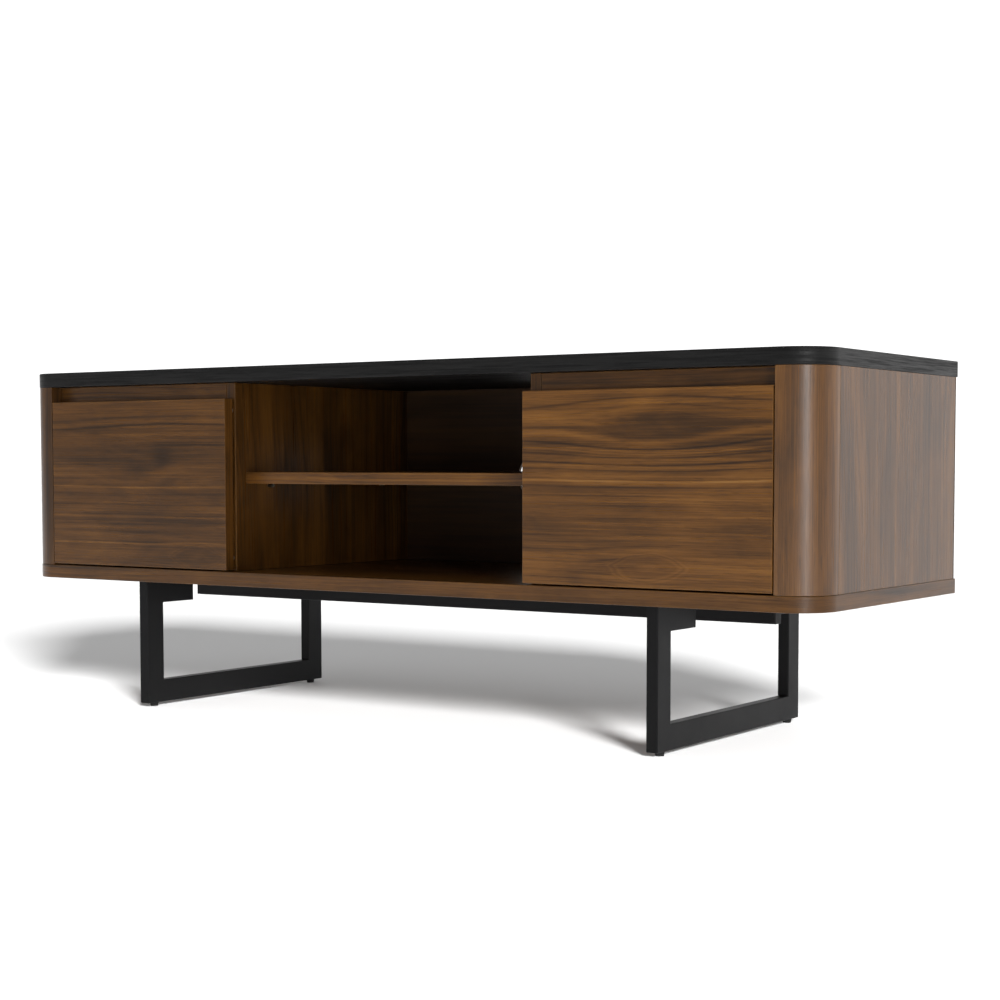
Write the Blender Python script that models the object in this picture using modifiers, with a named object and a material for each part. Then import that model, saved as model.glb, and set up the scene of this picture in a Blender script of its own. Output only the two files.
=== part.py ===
"""A media stand: a long walnut-finish case with a black top, standing on two black tube frames.

The middle of the case is an open bay with one shelf. On each side of it is a cabinet behind an inset door,
which turns on two concealed hinges at the corner post. X runs along the stand, the front faces -Y and Z is up.
The origin is on the floor, under the middle of the stand.
"""
import math

import bmesh
import bpy
from mathutils import Matrix, Vector

# ---------------------------------------------------------------- driving dimensions, in metres
WIDTH = 1.200
DEPTH = 0.390
HEIGHT = 0.450
CORNER_RADIUS = 0.047
GAP = 0.0003                   # left between pieces that touch

TOP_THICKNESS = 0.019
BOTTOM_THICKNESS = 0.018
SIDE_THICKNESS = 0.015
DIVIDER_THICKNESS = 0.015
CENTRE_BAY = 0.456             # clear width between the dividers
POST_WIDTH = 0.052
POST_DEPTH = 0.052
POST_INSET = 0.0005            # the case stands back this far from the rims of the top and bottom panels
BATTEN_DEPTH = 0.056           # packing piece behind each post, which the hinge plates screw to
BACK_THICKNESS = 0.0045
BACK_INSET = 0.0025            # back panel to the rear edge of the top
CABLE_HOLE_DIAMETER = 0.068

DOOR_THICKNESS = 0.015
DOOR_SIDE_GAP = 0.0015         # door to corner post
DOOR_BOTTOM_GAP = 0.002
DOOR_INNER_REVEAL = 0.0008     # door's inner edge to the divider's face in the centre bay
DOOR_BACK_GAP = 0.004          # back of the door to the front of the divider
FINGER_GAP = 0.021             # top of the door to the top panel
FRONT_RAIL_THICKNESS = 0.015
FRONT_RAIL_HEIGHT = 0.040

SHELF_THICKNESS = 0.015
SHELF_CLEARANCE = 0.113        # bottom panel to the shelf's underside
SHELF_SETBACK = 0.037
SHELF_BACK_GAP = 0.020         # room for cables behind the shelf
SHELF_SIDE_PLAY = 0.0007
SHELF_PIN_DIAMETER = 0.005
SHELF_PIN_DEPTH = 0.009        # in the divider
SHELF_PIN_REACH = 0.008        # under the shelf
SHELF_PIN_END_DISTANCE = 0.045

TUBE_WIDTH = 0.015
TUBE_HEIGHT = 0.030
TUBE_WALL = 0.0015
LEG_HEIGHT = 0.165             # tube frame, without its feet
LEG_SIDE_INSET = 0.200         # end of the case to the outer face of the leg frame
LEG_FRONT_INSET = 0.015
LEG_BACK_INSET = 0.015
ARM_REACH = 0.0575             # arm beyond the upright, with its end cap
BEAM_LENGTH = 0.918
CAP_FLANGE = 0.002
CAP_PLUG = 0.010
FOOT_HEIGHT = 0.005
FOOT_DIAMETER = 0.0118
FOOT_BASE_DIAMETER = 0.0100
FOOT_STEM_DIAMETER = 0.005
FOOT_STEM_LENGTH = 0.006
FOOT_END_DISTANCE = 0.018
BOLT_DIAMETER = 0.006
BOLT_HEAD_DIAMETER = 0.010
BOLT_HEAD_HEIGHT = 0.0025
BOLT_GRIP = 0.010              # length in the bottom panel
BEAM_BOLT_X = 0.300

HINGE_END_DISTANCE = 0.050     # hinge centre to the top or bottom edge of the door
CUP_DIAMETER = 0.035
CUP_DEPTH = 0.011
CUP_WALL = 0.002
CUP_FLOOR = 0.0006
CUP_EDGE_DISTANCE = 0.021      # cup centre to the door's outer edge
CUP_RIM = 0.0013               # rim and wings behind the door's back face
CUP_WING_LENGTH = 0.052
CUP_WING_WIDTH = 0.014
CUP_NOTCH = 0.016
LINK_PIVOT_FROM_CUP = 0.0112   # pivot beyond the cup's centre, away from the door's edge
LINK_PIVOT_IN_DOOR = 0.0062    # pivot ahead of the door's back face
LINK_LENGTH = 0.0232
LINK_THICKNESS = 0.0024
LINK_WIDTH = 0.008
LINK_EYE_DIAMETER = 0.0046
PIVOT_PIN_DIAMETER = 0.0024
PIVOT_PLAY = 0.0003
ARM_THICKNESS = 0.005
ARM_WIDTH = 0.012
ARM_FORK_PLAY = 0.0004
ARM_FORK_ROOT = 0.001          # fork's depth past the link's eye
PIVOT_PIN_INSET = 0.0005       # pin's ends below the arm's edges
ARM_NOSE_LENGTH = 0.013        # straight part of the arm behind the pivot
ARM_CRANK = 0.028              # depth over which the arm steps across to its plate
ARM_TAIL = 0.046
PLATE_THICKNESS = 0.0055
PLATE_LENGTH = 0.030
PLATE_WING_LENGTH = 0.044
PLATE_WING_WIDTH = 0.014
PLATE_BODY_WIDTH = 0.014

BUMPER_DIAMETER = 0.008
BUMPER_END_DISTANCE = 0.015    # bumper centre to the door's top or bottom edge

PANEL_EASE = 0.0008            # rounding of board edges
TUBE_EASE = 0.0012
ARC_STEPS = 16
TIP_STEPS = 8
TURNED_STEPS = 32
SMALL_STEPS = 20
HOLE_STEPS = 48
WELD = 1e-6
CUT_THROUGH = 0.005            # how far a cutting tool runs past the face it opens
BEVEL_ANGLE = math.radians(40)
CREASE_ANGLE = math.radians(35)

# ---------------------------------------------------------------- levels and places that follow
FRONT = -DEPTH / 2
BACK = DEPTH / 2
UNDERSIDE = FOOT_HEIGHT + LEG_HEIGHT
FLOOR_LEVEL = UNDERSIDE + BOTTOM_THICKNESS
CEILING_LEVEL = HEIGHT - TOP_THICKNESS
CASE_LOW = FLOOR_LEVEL + GAP
CASE_HIGH = CEILING_LEVEL - GAP
BACK_PANEL_REAR = BACK - BACK_INSET
BACK_PANEL_FRONT = BACK_PANEL_REAR - BACK_THICKNESS
CASE_REAR = BACK_PANEL_FRONT - GAP
POST_INNER_X = WIDTH / 2 - POST_WIDTH
POST_REAR = FRONT + POST_DEPTH
DOOR_BACK = FRONT + DOOR_THICKNESS
DIVIDER_FRONT = DOOR_BACK + DOOR_BACK_GAP
DIVIDER_INNER_X = CENTRE_BAY / 2
DIVIDER_OUTER_X = DIVIDER_INNER_X + DIVIDER_THICKNESS
DOOR_OUTER_X = POST_INNER_X - DOOR_SIDE_GAP
DOOR_INNER_X = DIVIDER_INNER_X + DOOR_INNER_REVEAL
DOOR_LOW = FLOOR_LEVEL + DOOR_BOTTOM_GAP
DOOR_HIGH = CEILING_LEVEL - FINGER_GAP
SHELF_LOW = FLOOR_LEVEL + SHELF_CLEARANCE
SHELF_HIGH = SHELF_LOW + SHELF_THICKNESS
SHELF_FRONT = FRONT + SHELF_SETBACK
SHELF_REAR = BACK_PANEL_FRONT - SHELF_BACK_GAP
LEG_TOP = UNDERSIDE - GAP
LEG_X = WIDTH / 2 - LEG_SIDE_INSET - TUBE_WIDTH / 2
LEG_FRONT = FRONT + LEG_FRONT_INSET
LEG_BACK = BACK - LEG_BACK_INSET
CUP_X = DOOR_OUTER_X - CUP_EDGE_DISTANCE
PIVOT_X = CUP_X - LINK_PIVOT_FROM_CUP
PIVOT_Y = DOOR_BACK - LINK_PIVOT_IN_DOOR
HINGE_LEVELS = {"lower": DOOR_LOW + HINGE_END_DISTANCE, "upper": DOOR_HIGH - HINGE_END_DISTANCE}
SIDES = {"left": -1, "right": 1}
ENDS = {"front": 1, "rear": -1}

# finishes: colour, roughness, metallic
WALNUT = ((0.105, 0.052, 0.027), 0.40, 0.0)
WALNUT_PAPER = ((0.060, 0.032, 0.018), 0.60, 0.0)
BLACK_BOARD = ((0.020, 0.019, 0.018), 0.42, 0.0)
BLACK_STEEL = ((0.016, 0.016, 0.017), 0.50, 0.6)
NICKEL = ((0.56, 0.55, 0.53), 0.30, 1.0)
BLACK_PLASTIC = ((0.022, 0.022, 0.022), 0.55, 0.0)
CLEAR_RUBBER = ((0.62, 0.62, 0.60), 0.45, 0.0)


# ---------------------------------------------------------------- collections and finishes
def clear_scene():
    """Take away whatever the scene holds, so that each run starts alike."""
    for item in list(bpy.data.objects):
        bpy.data.objects.remove(item, do_unlink=True)


def new_collection(name):
    """A collection linked to the scene, empty at the start."""
    group = bpy.data.collections.get(name) or bpy.data.collections.new(name)
    if group.name not in bpy.context.scene.collection.children:
        bpy.context.scene.collection.children.link(group)
    return group


def finish(item, look):
    """Give a piece its own Principled material in one of the finishes."""
    colour, roughness, metallic = look
    material = bpy.data.materials.new(item.name)
    material.use_nodes = True
    shader = material.node_tree.nodes["Principled BSDF"]
    shader.inputs["Base Color"].default_value = (*colour, 1.0)
    shader.inputs["Roughness"].default_value = roughness
    shader.inputs["Metallic"].default_value = metallic
    item.data.materials.clear()
    item.data.materials.append(material)
    return item


def file_under(item, group):
    """Keep an object in one collection only."""
    for other in list(item.users_collection):
        other.objects.unlink(item)
    group.objects.link(item)
    return item


# ---------------------------------------------------------------- ways of making a solid
def box(name, low, high, group=None):
    """A rectangular solid between two corners, with its size in its mesh."""
    middle = [(a + b) / 2 for a, b in zip(low, high)]
    size = [b - a for a, b in zip(low, high)]
    bpy.ops.mesh.primitive_cube_add(size=1.0)
    item = bpy.context.object
    item.name = name
    item.data.name = name
    item.data.transform(Matrix.Translation(middle) @ Matrix.Diagonal((*size, 1.0)))
    return file_under(item, group or PARTS)


def rod(name, radius, start, end, steps=SMALL_STEPS, group=None):
    """A plain cylinder from one point to another."""
    start = Vector(start)
    run = Vector(end) - start
    bpy.ops.mesh.primitive_cylinder_add(vertices=steps, radius=radius, depth=run.length)
    item = bpy.context.object
    item.name = name
    item.data.name = name
    turn = Vector((0, 0, 1)).rotation_difference(run).to_matrix().to_4x4()
    item.data.transform(Matrix.Translation(start + run / 2) @ turn)
    return file_under(item, group or PARTS)


def flat_outline(name, points, middle, thickness, across="Z", group=None):
    """A filled outline given its thickness across Z, across X or across Y."""
    turns = {
        "Z": Matrix.Identity(4),
        "X": Matrix(((0, 0, 1, 0), (1, 0, 0, 0), (0, 1, 0, 0), (0, 0, 0, 1))),
        "Y": Matrix(((1, 0, 0, 0), (0, 0, -1, 0), (0, 1, 0, 0), (0, 0, 0, 1))),
    }
    shifts = {"Z": (0, 0, middle), "X": (middle, 0, 0), "Y": (0, middle, 0)}
    curve = bpy.data.curves.new(name, "CURVE")
    curve.dimensions = "2D"
    curve.fill_mode = "BOTH"
    curve.extrude = thickness / 2
    spline = curve.splines.new("POLY")
    spline.points.add(len(points) - 1)
    for corner, (u, v) in zip(spline.points, points):
        corner.co = (u, v, 0, 1)
    spline.use_cyclic_u = True
    drawn = bpy.data.objects.new(name, curve)
    drawn.matrix_world = Matrix.Translation(shifts[across]) @ turns[across]
    PARTS.objects.link(drawn)
    bpy.context.view_layer.update()
    mesh = bpy.data.meshes.new_from_object(drawn.evaluated_get(bpy.context.evaluated_depsgraph_get()))
    mesh.transform(drawn.matrix_world)
    bpy.data.objects.remove(drawn)
    welded = bmesh.new()
    welded.from_mesh(mesh)
    bmesh.ops.remove_doubles(welded, verts=welded.verts, dist=WELD)
    bmesh.ops.recalc_face_normals(welded, faces=welded.faces)
    welded.to_mesh(mesh)
    welded.free()
    mesh.name = name
    item = bpy.data.objects.new(name, mesh)
    return file_under(item, group or PARTS)


def turned(name, profile, foot, direction=(0, 0, 1), steps=SMALL_STEPS):
    """A round piece swept from (radius, height) points, listed from its top to its bottom."""
    mesh = bpy.data.meshes.new(name)
    mesh.from_pydata([(r, 0, h) for r, h in profile], [(i, i + 1) for i in range(len(profile) - 1)], [])
    item = bpy.data.objects.new(name, mesh)
    PARTS.objects.link(item)
    item.location = foot
    item.rotation_mode = "QUATERNION"
    item.rotation_quaternion = Vector((0, 0, 1)).rotation_difference(Vector(direction))
    sweep = item.modifiers.new("turning", "SCREW")
    sweep.angle = math.tau
    sweep.steps = steps
    sweep.render_steps = steps
    sweep.use_merge_vertices = True
    sweep.merge_threshold = 10 * WELD
    return item


def ease(item, width, segments=2):
    """Round the edges of a board or tube."""
    bevel = item.modifiers.new("eased edges", "BEVEL")
    bevel.width = width
    bevel.segments = segments
    bevel.limit_method = "ANGLE"
    bevel.angle_limit = BEVEL_ANGLE
    return item


def combine(item, other, operation):
    """Cut another solid away from a piece, or join it on; the other one is kept as a hidden guide."""
    file_under(other, CUTTERS)
    other.hide_render = True
    other.display_type = "WIRE"
    change = item.modifiers.new(operation.lower(), "BOOLEAN")
    change.operation = operation
    change.solver = "EXACT"
    change.object = other
    return item


def cut(item, other):
    return combine(item, other, "DIFFERENCE")


def join(item, other):
    return combine(item, other, "UNION")


def soften(item):
    """Smooth shading with creases kept."""
    item.data.shade_smooth()
    item.data.set_sharp_from_angle(angle=CREASE_ANGLE)
    return item


def hang_on_axis(item, x, y):
    """Move a piece's origin onto its vertical joint axis without moving the piece."""
    item.data.transform(Matrix.Translation((-x, -y, 0)))
    item.location = (x, y, 0)
    return item


def quarter_arc(centre, radius, start_degrees):
    """Points of a quarter circle, turning anticlockwise from a starting angle."""
    angles = [math.radians(start_degrees + 90 * i / ARC_STEPS) for i in range(ARC_STEPS + 1)]
    return [(centre[0] + radius * math.cos(a), centre[1] + radius * math.sin(a)) for a in angles]


# ---------------------------------------------------------------- boards of the case
def panel_outline():
    """Top and bottom panels: square corners at the back, round ones at the front."""
    half = WIDTH / 2
    reach = half - CORNER_RADIUS
    centre_y = FRONT + CORNER_RADIUS
    points = quarter_arc((-reach, centre_y), CORNER_RADIUS, 180)
    points += quarter_arc((reach, centre_y), CORNER_RADIUS, 270)
    return points + [(half, BACK), (-half, BACK)]


def make_top_panel():
    """Black board that a television stands on."""
    item = flat_outline("top_panel", panel_outline(), HEIGHT - TOP_THICKNESS / 2, TOP_THICKNESS)
    soften(ease(item, PANEL_EASE))
    return finish(item, BLACK_BOARD)


def make_bottom_panel():
    """Walnut-finish board that the case stands on, bored for the bolts of the legs and the beam."""
    item = flat_outline("bottom_panel", panel_outline(), UNDERSIDE + BOTTOM_THICKNESS / 2, BOTTOM_THICKNESS)
    soften(ease(item, PANEL_EASE))
    for number, (x, y) in enumerate(arm_bolt_places() + beam_bolt_places()):
        low = (x, y, UNDERSIDE - CUT_THROUGH)
        high = (x, y, UNDERSIDE + BOLT_GRIP + GAP)
        cut(item, rod(f"bottom_bore_{number}", BOLT_DIAMETER / 2 + GAP, low, high))
    return finish(item, WALNUT)


def make_corner_post(name, side):
    """Solid quarter-round post that carries the case round the front corner."""
    outer = WIDTH / 2 - POST_INSET
    front = FRONT + POST_INSET
    radius = CORNER_RADIUS - POST_INSET
    arc = quarter_arc((outer - radius, front + radius), radius, 270)
    points = [(POST_INNER_X, front)] + arc + [(outer, POST_REAR), (POST_INNER_X, POST_REAR)]
    points = [(side * x, y) for x, y in points]
    item = flat_outline(f"{name}_corner_post", points, (CASE_LOW + CASE_HIGH) / 2, CASE_HIGH - CASE_LOW)
    return finish(soften(item), WALNUT)


def make_side_panel(name, side):
    """Board that closes the end of the case behind the post."""
    outer = WIDTH / 2 - POST_INSET
    xs = sorted((side * outer, side * (outer - SIDE_THICKNESS)))
    item = box(f"{name}_side_panel", (xs[0], POST_REAR + GAP, CASE_LOW), (xs[1], CASE_REAR, CASE_HIGH))
    return finish(item, WALNUT)


def make_hinge_batten(name, side):
    """Packing piece behind the post, level with its inner face; the hinge plates screw to it."""
    outer = WIDTH / 2 - POST_INSET - SIDE_THICKNESS - GAP
    xs = sorted((side * outer, side * POST_INNER_X))
    low = (xs[0], POST_REAR + GAP, CASE_LOW)
    high = (xs[1], POST_REAR + GAP + BATTEN_DEPTH, CASE_HIGH)
    return finish(box(f"{name}_hinge_batten", low, high), WALNUT)


def make_divider(name, side):
    """Upright between the centre bay and a cabinet, bored for two shelf pins."""
    xs = sorted((side * DIVIDER_INNER_X, side * DIVIDER_OUTER_X))
    item = box(f"{name}_divider", (xs[0], DIVIDER_FRONT, CASE_LOW), (xs[1], CASE_REAR, CASE_HIGH))
    ease(item, PANEL_EASE)
    for end, (y, z) in shelf_pin_places().items():
        start = (side * (DIVIDER_INNER_X - CUT_THROUGH), y, z)
        stop = (side * (DIVIDER_INNER_X + SHELF_PIN_DEPTH + GAP), y, z)
        cut(item, rod(f"{name}_{end}_pin_bore", SHELF_PIN_DIAMETER / 2 + GAP, start, stop))
    return finish(item, WALNUT)


def make_front_rail(name, side):
    """Rail behind the finger gap, which closes the cabinet above the door."""
    xs = sorted((side * (DIVIDER_OUTER_X + GAP), side * (POST_INNER_X - GAP)))
    low = (xs[0], DIVIDER_FRONT, CASE_HIGH - FRONT_RAIL_HEIGHT)
    high = (xs[1], DIVIDER_FRONT + FRONT_RAIL_THICKNESS, CASE_HIGH)
    return finish(ease(box(f"{name}_front_rail", low, high), PANEL_EASE), WALNUT)


def make_back_panel():
    """Thin board that closes the back, with a round cable hole behind the shelf."""
    half = WIDTH / 2 - POST_INSET - PANEL_EASE
    item = box("back_panel", (-half, BACK_PANEL_FRONT, CASE_LOW), (half, BACK_PANEL_REAR, CASE_HIGH))
    level = (SHELF_LOW + SHELF_HIGH) / 2
    start = (0, BACK_PANEL_FRONT - CUT_THROUGH, level)
    stop = (0, BACK_PANEL_REAR + CUT_THROUGH, level)
    hole = rod("cable_hole_cutter", CABLE_HOLE_DIAMETER / 2, start, stop, HOLE_STEPS, CUTTERS)
    return finish(cut(item, hole), WALNUT_PAPER)


def make_shelf():
    """Shelf of the centre bay, held clear of the back for cables."""
    half = DIVIDER_INNER_X - SHELF_SIDE_PLAY
    item = box("centre_shelf", (-half, SHELF_FRONT, SHELF_LOW), (half, SHELF_REAR, SHELF_HIGH))
    return finish(ease(item, PANEL_EASE), WALNUT)


def shelf_pin_places():
    """Depth and height of the pins' centres, which the shelf rests on."""
    level = SHELF_LOW - GAP - SHELF_PIN_DIAMETER / 2
    return {"front": (SHELF_FRONT + SHELF_PIN_END_DISTANCE, level),
            "rear": (SHELF_REAR - SHELF_PIN_END_DISTANCE, level)}


def make_shelf_pin(name, side, end, place):
    """Plain steel pin, half in the divider and half under the shelf."""
    y, z = place
    start = (side * (DIVIDER_INNER_X - SHELF_PIN_REACH), y, z)
    stop = (side * (DIVIDER_INNER_X + SHELF_PIN_DEPTH), y, z)
    item = rod(f"{name}_{end}_shelf_pin", SHELF_PIN_DIAMETER / 2, start, stop)
    return finish(soften(item), NICKEL)


# ---------------------------------------------------------------- doors and their hinges
def make_door(name, side):
    """Inset door, bored at the back for two hinge cups."""
    xs = sorted((side * DOOR_INNER_X, side * DOOR_OUTER_X))
    item = box(f"{name}_door", (xs[0], FRONT, DOOR_LOW), (xs[1], DOOR_BACK, DOOR_HIGH))
    ease(item, PANEL_EASE)
    for level_name, level in HINGE_LEVELS.items():
        start = (side * CUP_X, DOOR_BACK - CUP_DEPTH - GAP, level)
        stop = (side * CUP_X, DOOR_BACK + CUT_THROUGH, level)
        cut(item, rod(f"{name}_{level_name}_cup_bore", CUP_DIAMETER / 2 + GAP, start, stop, TURNED_STEPS))
    hang_on_axis(item, side * DOOR_OUTER_X, FRONT)
    return finish(item, WALNUT)


def make_hinge_cup(name, side, level_name, level):
    """Pressed cup with two screw wings, let into the back of the door."""
    radius = CUP_DIAMETER / 2
    inner = radius - CUP_WALL
    rim = CUP_DEPTH + CUP_RIM
    profile = [(0, CUP_FLOOR), (inner, CUP_FLOOR), (inner, rim), (radius, rim), (radius, 0), (0, 0)]
    foot = (side * CUP_X, DOOR_BACK - CUP_DEPTH, level)
    item = turned(f"{name}_hinge_cup_{level_name}", profile, foot, (0, 1, 0), TURNED_STEPS)
    wing_back = DOOR_BACK + CUP_RIM
    half_width = CUP_WING_WIDTH / 2
    for sign in (-1, 1):
        zs = sorted((level + sign * (inner + CUP_WALL / 2), level + sign * CUP_WING_LENGTH / 2))
        low = (side * CUP_X - half_width, DOOR_BACK + GAP, zs[0])
        wing = box(f"{item.name}_wing", low, (side * CUP_X + half_width, wing_back, zs[1]), CUTTERS)
        join(item, wing)
    xs = sorted((side * (CUP_X + inner / 2), side * (CUP_X + radius + CUT_THROUGH)))
    low = (xs[0], DOOR_BACK, level - CUP_NOTCH / 2)
    high = (xs[1], DOOR_BACK + CUT_THROUGH, level + CUP_NOTCH / 2)
    cut(item, box(f"{item.name}_notch", low, high, CUTTERS))
    return finish(item, NICKEL)


def make_hinge_link(name, side, level_name, level):
    """Flat link from the arm's pivot towards the edge of the cup."""
    eye = LINK_EYE_DIAMETER / 2
    half = LINK_THICKNESS / 2
    end = LINK_LENGTH - half
    start_angle = math.asin(half / eye)
    eye_sweep = [start_angle + (math.tau - 2 * start_angle) * i / SMALL_STEPS for i in range(SMALL_STEPS + 1)]
    points = [(eye * math.cos(a), eye * math.sin(a)) for a in eye_sweep]
    tip_sweep = [math.pi * (i / TIP_STEPS - 0.5) for i in range(TIP_STEPS + 1)]
    points += [(end + half * math.cos(a), half * math.sin(a)) for a in tip_sweep]
    points = [(side * (PIVOT_X + x), PIVOT_Y + y) for x, y in points]
    item = flat_outline(f"{name}_hinge_link_{level_name}", points, level, LINK_WIDTH)
    start = (side * PIVOT_X, PIVOT_Y, level - LINK_WIDTH)
    stop = (side * PIVOT_X, PIVOT_Y, level + LINK_WIDTH)
    cut(item, rod(f"{item.name}_bore", PIVOT_PIN_DIAMETER / 2 + PIVOT_PLAY, start, stop))
    hang_on_axis(item, side * PIVOT_X, PIVOT_Y)
    return finish(item, NICKEL)


def arm_plan(side):
    """Outline of the cranked arm seen from above, from its nose in the cup to its tail on the plate."""
    half = ARM_THICKNESS / 2
    tail_x = POST_INNER_X - GAP - PLATE_THICKNESS - GAP - half
    nose_sweep = [math.pi * (1 + i / TIP_STEPS) for i in range(TIP_STEPS + 1)]
    points = [(PIVOT_X + half * math.cos(a), PIVOT_Y + half * math.sin(a)) for a in nose_sweep]
    crank_start = PIVOT_Y + ARM_NOSE_LENGTH
    crank_end = crank_start + ARM_CRANK
    slope = math.atan2(ARM_CRANK, tail_x - PIVOT_X)
    step = half * math.tan(math.pi / 4 - slope / 2)
    tail_end = crank_end + ARM_TAIL
    points += [(PIVOT_X + half, crank_start - step), (tail_x + half, crank_end - step),
               (tail_x + half, tail_end), (tail_x - half, tail_end),
               (tail_x - half, crank_end + step), (PIVOT_X - half, crank_start + step)]
    return [(side * x, y) for x, y in points]


def make_hinge_arm(name, side, level_name, level):
    """Cranked arm on the case; its forked nose holds the link on a pin."""
    item = flat_outline(f"{name}_hinge_arm_{level_name}", arm_plan(side), level, ARM_WIDTH)
    fork = LINK_WIDTH / 2 + ARM_FORK_PLAY
    xs = sorted((side * (PIVOT_X - ARM_THICKNESS), side * (PIVOT_X + ARM_THICKNESS)))
    low = (xs[0], PIVOT_Y - ARM_THICKNESS, level - fork)
    high = (xs[1], PIVOT_Y + LINK_EYE_DIAMETER / 2 + ARM_FORK_ROOT, level + fork)
    cut(item, box(f"{item.name}_fork", low, high, CUTTERS))
    reach = ARM_WIDTH / 2 - PIVOT_PIN_INSET
    start = (side * PIVOT_X, PIVOT_Y, level - reach)
    stop = (side * PIVOT_X, PIVOT_Y, level + reach)
    join(item, rod(f"{item.name}_pin", PIVOT_PIN_DIAMETER / 2, start, stop))
    return finish(item, NICKEL)


def make_hinge_plate(name, side, level_name, level):
    """Cross-shaped plate between the batten and the arm's tail."""
    middle_y = PIVOT_Y + ARM_NOSE_LENGTH + ARM_CRANK + ARM_TAIL / 2
    body = PLATE_BODY_WIDTH / 2
    wing = PLATE_WING_WIDTH / 2
    length = PLATE_LENGTH / 2
    span = PLATE_WING_LENGTH / 2
    quarter = [(length, body), (wing, body), (wing, span)]
    points = quarter + [(-u, v) for u, v in reversed(quarter)]
    points += [(-u, -v) for u, v in quarter] + [(u, -v) for u, v in reversed(quarter)]
    points = [(middle_y + u, level + v) for u, v in points]
    middle_x = side * (POST_INNER_X - GAP - PLATE_THICKNESS / 2)
    item = flat_outline(f"{name}_hinge_plate_{level_name}", points, middle_x, PLATE_THICKNESS, "X")
    return finish(item, NICKEL)


def make_bumper(name, side, end_name, level):
    """Soft button on the divider's edge, which the closed door comes to rest on."""
    height = DOOR_BACK_GAP - 2 * GAP
    radius = BUMPER_DIAMETER / 2
    profile = [(0, height), (radius * 0.55, height), (radius * 0.85, height * 0.75), (radius, height * 0.3),
               (radius, 0), (0, 0)]
    foot = (side * (DIVIDER_INNER_X + DIVIDER_OUTER_X) / 2, DIVIDER_FRONT - GAP, level)
    item = turned(f"{name}_door_bumper_{end_name}", profile, foot, (0, -1, 0))
    return finish(item, CLEAR_RUBBER)


# ---------------------------------------------------------------- steel under-frame
def leg_outline(inset, overrun):
    """Side view of a leg frame: rail, two uprights and two short arms; inset for the hollow in the tube."""
    low = FOOT_HEIGHT + inset
    high = LEG_TOP - inset
    front = LEG_FRONT + inset
    rear = LEG_BACK - inset
    tube = TUBE_HEIGHT - 2 * inset
    arm = TUBE_HEIGHT + ARM_REACH - CAP_FLANGE - GAP - inset + overrun
    return [(front, low), (rear, low), (rear, high), (rear - arm, high), (rear - arm, high - tube),
            (rear - tube, high - tube), (rear - tube, low + tube), (front + tube, low + tube),
            (front + tube, high - tube), (front + arm, high - tube), (front + arm, high), (front, high)]


def arm_bolt_places():
    """Middle of each arm, measured past its upright."""
    distance = TUBE_HEIGHT + ARM_REACH / 2
    return [(side * LEG_X, y) for side in SIDES.values() for y in (LEG_FRONT + distance, LEG_BACK - distance)]


def beam_bolt_places():
    return [(side * BEAM_BOLT_X, 0.0) for side in SIDES.values()]


def cut_bolt_holes(item, name, place):
    """Bore in a tube's upper wall for a bolt, and a wider hole below that lets the bolt's head into the tube."""
    x, y = place
    low = LEG_TOP - TUBE_HEIGHT - CUT_THROUGH
    middle = LEG_TOP - TUBE_HEIGHT / 2
    cut(item, rod(name, BOLT_DIAMETER / 2 + GAP, (x, y, middle), (x, y, LEG_TOP + CUT_THROUGH)))
    cut(item, rod(f"{name}_access", BOLT_HEAD_DIAMETER / 2 + GAP, (x, y, low), (x, y, middle)))


def foot_places():
    return {"front": LEG_FRONT + FOOT_END_DISTANCE, "rear": LEG_BACK - FOOT_END_DISTANCE}


def make_leg_frame(name, side):
    """Welded frame of rectangular tube, open at the ends of its arms."""
    middle = side * LEG_X
    item = flat_outline(f"{name}_leg_frame", leg_outline(0, 0), middle, TUBE_WIDTH, "X")
    ease(item, TUBE_EASE)
    inside = leg_outline(TUBE_WALL, CUT_THROUGH)
    cut(item, flat_outline(f"{name}_leg_hollow", inside, middle, TUBE_WIDTH - 2 * TUBE_WALL, "X", CUTTERS))
    for number, place in enumerate(p for p in arm_bolt_places() if p[0] * side > 0):
        cut_bolt_holes(item, f"{name}_arm_bore_{number}", place)
    for end, y in foot_places().items():
        low = (middle, y, FOOT_HEIGHT - CUT_THROUGH)
        high = (middle, y, FOOT_HEIGHT + TUBE_WALL + CUT_THROUGH)
        cut(item, rod(f"{name}_{end}_foot_bore", FOOT_STEM_DIAMETER / 2 + GAP, low, high))
    return finish(item, BLACK_STEEL)


def tube_cap(name, end, direction, low_z):
    """Plastic plug for an open tube end: a flange as large as the tube, and a plug inside it.

    end is the outer face of the flange, and direction the way from the flange into the tube.
    """
    inward = Vector(direction)
    across = Vector((abs(inward.y), abs(inward.x), 0))
    up = Vector((0, 0, 1))

    def block(label, start, stop, half, low, high):
        a = end + inward * start - across * half + up * low
        b = end + inward * stop + across * half + up * high
        corners = [[min(pair), max(pair)] for pair in zip(a, b)]
        return box(label, [c[0] for c in corners], [c[1] for c in corners])

    slack = TUBE_WALL + GAP
    item = block(name, 0, CAP_FLANGE, TUBE_WIDTH / 2, low_z, low_z + TUBE_HEIGHT)
    ease(item, PANEL_EASE)
    plug = block(f"{name}_plug", CAP_FLANGE / 2, CAP_FLANGE + CAP_PLUG, TUBE_WIDTH / 2 - slack,
                 low_z + slack, low_z + TUBE_HEIGHT - slack)
    join(item, plug)
    return finish(item, BLACK_PLASTIC)


def make_arm_cap(name, side, end_name, sign):
    """Plug in the open end of a leg frame's arm."""
    start = LEG_FRONT if end_name == "front" else LEG_BACK
    end = Vector((side * LEG_X, start + sign * (TUBE_HEIGHT + ARM_REACH), 0))
    return tube_cap(f"{name}_{end_name}_arm_cap", end, (0, -sign, 0), LEG_TOP - TUBE_HEIGHT)


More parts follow.
